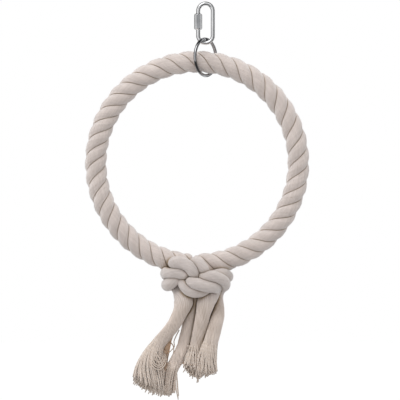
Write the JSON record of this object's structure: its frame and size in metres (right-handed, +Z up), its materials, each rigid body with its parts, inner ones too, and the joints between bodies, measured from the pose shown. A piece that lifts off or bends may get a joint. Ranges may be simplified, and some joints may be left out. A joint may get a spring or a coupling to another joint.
{
  "type": "ring bird swing",
  "caption": "Bird swing: a hoop of laid cotton rope, knotted below into frayed tassels, hung from a steel ring and a screw link",
  "frame": {"origin": "hanging point, on the inside of the screw link's top bow", "axes": "+Z up along the line the swing hangs on, +X to the viewer's right across the hoop, +Y away from the viewer, square to the hoop"},
  "size_m": [0.199, 0.0458, 0.3498],
  "materials": {
    "plated_steel": "bright plated steel",
    "core_steel": "plain drawn wire",
    "cotton_rope": "matt undyed cotton"
  },
  "bodies": {
    "link": {"quick_link_body": "plated_steel"},
    "sleeve": {"quick_link_sleeve": "plated_steel"},
    "ring": {"hanging_ring": "plated_steel"},
    "hoop": {"core_hoop": "core_steel", "rope_strand_1": "cotton_rope", "rope_strand_2": "cotton_rope", "rope_strand_3": "cotton_rope", "knot_strand_upper_left": "cotton_rope", "knot_strand_upper_right": "cotton_rope", "knot_strand_left": "cotton_rope", "knot_strand_lower": "cotton_rope", "knot_strand_centre": "cotton_rope", "knot_strand_right": "cotton_rope", "tassel_upper_left": "cotton_rope", "tassel_upper_right": "cotton_rope", "tassel_left": "cotton_rope", "tassel_lower": "cotton_rope", "tassel_centre": "cotton_rope", "tassel_right": "cotton_rope"}
  },
  "joints": [
    {"name": "sleeve_travel", "type": "slide", "parent": "link", "child": "sleeve", "axis": [0, 0, -1], "range_m": [0, 0.0055]},
    {"name": "ring_swing", "type": "hinge", "parent": "link", "child": "ring", "pos_m": [0, 0, -0.03325], "axis": [1, 0, 0], "range_deg": [-35, 35]},
    {"name": "hoop_turn", "type": "hinge", "parent": "ring", "child": "hoop", "pos_m": [-0.0075, 0, -0.1399], "axis": [0, 1, 0], "range_deg": [-100, 100]}
  ]
}
